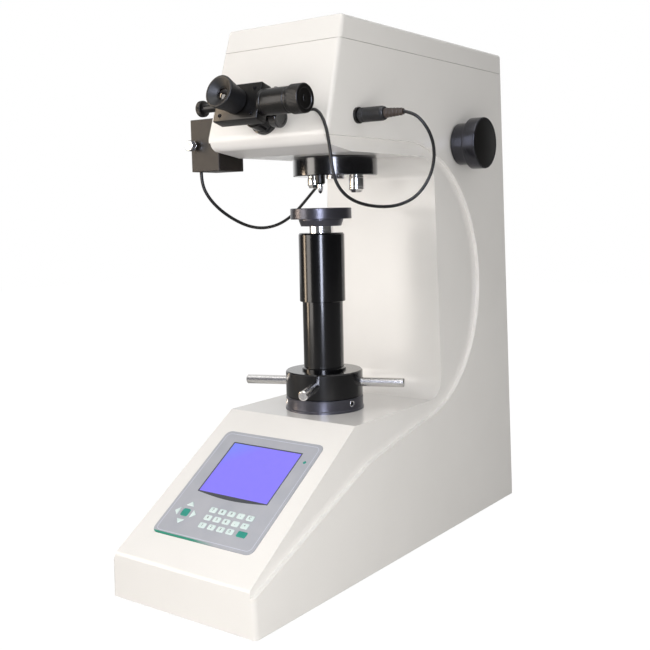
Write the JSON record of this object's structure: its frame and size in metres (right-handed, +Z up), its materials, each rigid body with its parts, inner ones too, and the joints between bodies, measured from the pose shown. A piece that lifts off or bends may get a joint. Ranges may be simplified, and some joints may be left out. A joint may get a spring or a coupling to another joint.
{
  "type": "hardness tester",
  "caption": "Bench Vickers hardness tester: C-shaped casting, capstan screw and anvil, indenter turret, micrometer eyepiece and sloping keypad panel.",
  "frame": {"origin": "on the bench, under the axis of the elevating screw, at the underside of the base plate", "axes": "+Z up along the elevating screw, -Y towards the operator, +X to the side with the load knob"},
  "size_m": [0.3427, 0.5882, 0.63],
  "materials": {
    "casting_paint": "satin cream stove enamel",
    "cover_paint": "satin enamel",
    "plate_steel": "machined, oiled",
    "screw_black": "black oxide",
    "bezel_plastic": "fine matt foil",
    "display_glass": "backlit blue-violet",
    "key_plastic": "pale domed foil",
    "key_teal": "teal domed foil",
    "board_green": "solder resist",
    "black_gloss": "gloss black enamel",
    "black_satin": "satin black anodised",
    "anvil_steel": "hardened, blackened, turned",
    "chrome": "polished",
    "ground_steel": "ground",
    "bearing_steel": "ground",
    "bronze": "machined",
    "aluminium": "machined",
    "diamond_holder": "lapped",
    "lens_glass": "coated",
    "rubber": "moulded",
    "plug_plastic": "moulded",
    "weight_iron": "painted",
    "coil_iron": "laminated and varnished",
    "lamp_glass": "clear"
  },
  "bodies": {
    "root": {"housing": "casting_paint", "top_cover": "cover_paint", "cover_screws": "screw_black", "base_plate": "plate_steel", "back_cover": "cover_paint", "panel_bezel": "bezel_plastic", "display_module": "display_glass", "number_keys": "key_plastic", "enter_keys": "key_teal", "arrow_keys": "key_plastic", "control_board": "board_green", "screw_collar": "black_satin", "collar_set_screws": "screw_black", "thrust_bearing": "bearing_steel", "guide_bush": "bronze", "turret_bearing": "bronze", "microscope_body": "aluminium", "illuminator_tube": "aluminium", "eyepiece_flange": "black_gloss", "lamp_housing": "black_satin", "lamp_bulb": "lamp_glass", "lever_bracket": "aluminium", "loading_motor": "coil_iron", "cord_sockets": "chrome", "eyepiece_plug": "plug_plastic", "lamp_plug": "plug_plastic", "eyepiece_cord": "rubber", "lamp_cord": "rubber", "power_inlet": "plug_plastic", "switch_frame": "plug_plastic", "transformer": "coil_iron"},
    "capstan": {"capstan_hub": "black_gloss", "capstan_rods": "chrome", "screw_nut": "bronze", "lower_sleeve": "black_gloss"},
    "lift": {"elevating_screw": "chrome", "upper_sleeve": "black_gloss", "anvil": "anvil_steel"},
    "turret": {"turret_disc": "black_gloss", "turret_shaft": "ground_steel", "objectives": "chrome", "indenter_spring": "bearing_steel"},
    "indenter": {"indenter": "black_satin", "indenter_tip": "diamond_holder"},
    "lever": {"load_lever": "aluminium"},
    "yoke": {"load_yoke": "ground_steel"},
    "weights": {"weight_hanger": "ground_steel", "weight_discs": "weight_iron"},
    "cam": {"loading_cam": "ground_steel"},
    "selector": {"load_knob": "black_gloss", "selector_cams": "ground_steel"},
    "micrometer": {"micrometer_body": "black_satin", "encoder_sleeve": "black_satin"},
    "drum": {"measuring_drum": "black_satin"},
    "index": {"index_knob": "black_satin"},
    "eyecup": {"eyecup": "rubber", "eye_lens": "lens_glass"},
    "clamp": {"clamp_screw": "black_gloss"},
    "lamp_clamp": {"lamp_screw": "chrome"},
    "switch": {"switch_rocker": "plug_plastic"}
  },
  "joints": [
    {"name": "capstan_turn", "type": "hinge", "parent": "root", "child": "capstan", "pos_m": [0, 0, 0.21], "axis": [0, 0, 1], "range_deg": [-3480, 900]},
    {"name": "lift_slide", "type": "slide", "parent": "root", "child": "lift", "axis": [0, 0, 1], "range_m": [-0.0581, 0.0151]},
    {"name": "turret_turn", "type": "hinge", "parent": "root", "child": "turret", "pos_m": [0, 0.0314, 0.4713], "axis": [0, 0, 1], "range_deg": [-90, 90]},
    {"name": "indenter_slide", "type": "slide", "parent": "turret", "child": "indenter", "axis": [0, 0, -1], "range_m": [0, 0.0012], "stiffness_N_per_m": 300, "springref_m": -0.004, "deforming": ["indenter_spring"]},
    {"name": "cam_turn", "type": "hinge", "parent": "root", "child": "cam", "pos_m": [0, 0.28, 0.545], "axis": [1, 0, 0], "range_deg": [0, 180]},
    {"name": "lever_tilt", "type": "hinge", "parent": "root", "child": "lever", "pos_m": [0, -0.035, 0.578], "axis": [-1, 0, 0], "range_deg": [0, 1.96]},
    {"name": "yoke_slide", "type": "slide", "parent": "root", "child": "yoke", "axis": [0, 0, -1], "range_m": [0, 0.0012]},
    {"name": "weights_slide", "type": "slide", "parent": "root", "child": "weights", "axis": [0, 0, -1], "range_m": [0, 0.00893]},
    {"name": "selector_turn", "type": "hinge", "parent": "root", "child": "selector", "pos_m": [0.0886, 0.1894, 0.5005], "axis": [1, 0, 0], "range_deg": [0, 300]},
    {"name": "micrometer_swivel", "type": "hinge", "parent": "root", "child": "micrometer", "pos_m": [0, -0.09819, 0.5206], "axis": [0, -0.9552, 0.2959], "range_deg": [0, 90]},
    {"name": "drum_turn", "type": "hinge", "parent": "micrometer", "child": "drum", "pos_m": [0, -0.13945, 0.53338], "axis": [1, 0, 0], "range_deg": [-1800, 1800]},
    {"name": "index_turn", "type": "hinge", "parent": "micrometer", "child": "index", "pos_m": [0, -0.13945, 0.53338], "axis": [1, 0, 0], "range_deg": [-360, 360]},
    {"name": "eyecup_turn", "type": "hinge", "parent": "micrometer", "child": "eyecup", "pos_m": [0, -0.15072, 0.53687], "axis": [0, -0.9552, 0.2959], "range_deg": [-120, 120]},
    {"name": "clamp_turn", "type": "hinge", "parent": "root", "child": "clamp", "pos_m": [0, -0.10965, 0.52415], "axis": [0.9848, -0.0514, -0.1659], "range_deg": [0, 360]},
    {"name": "lamp_clamp_turn", "type": "hinge", "parent": "root", "child": "lamp_clamp", "pos_m": [-0.127, -0.082, 0.499], "axis": [0, -1, 0], "range_deg": [0, 360]},
    {"name": "switch_rock", "type": "hinge", "parent": "root", "child": "switch", "pos_m": [0.045, 0.319, 0.062], "axis": [-1, 0, 0], "range_deg": [0, 20]}
  ],
  "couplings": [
    {"joint": "lift_slide", "follows": "capstan_turn", "m_per_rad": 0.00095493},
    {"joint": "cam_turn", "follows": "weights_slide", "rad_per_m": 351.7},
    {"joint": "lever_tilt", "follows": "weights_slide", "rad_per_m": 3.8297},
    {"joint": "yoke_slide", "follows": "weights_slide", "ratio": 0.13434},
    {"joint": "indenter_slide", "follows": "weights_slide", "ratio": 0.13434}
  ]
}
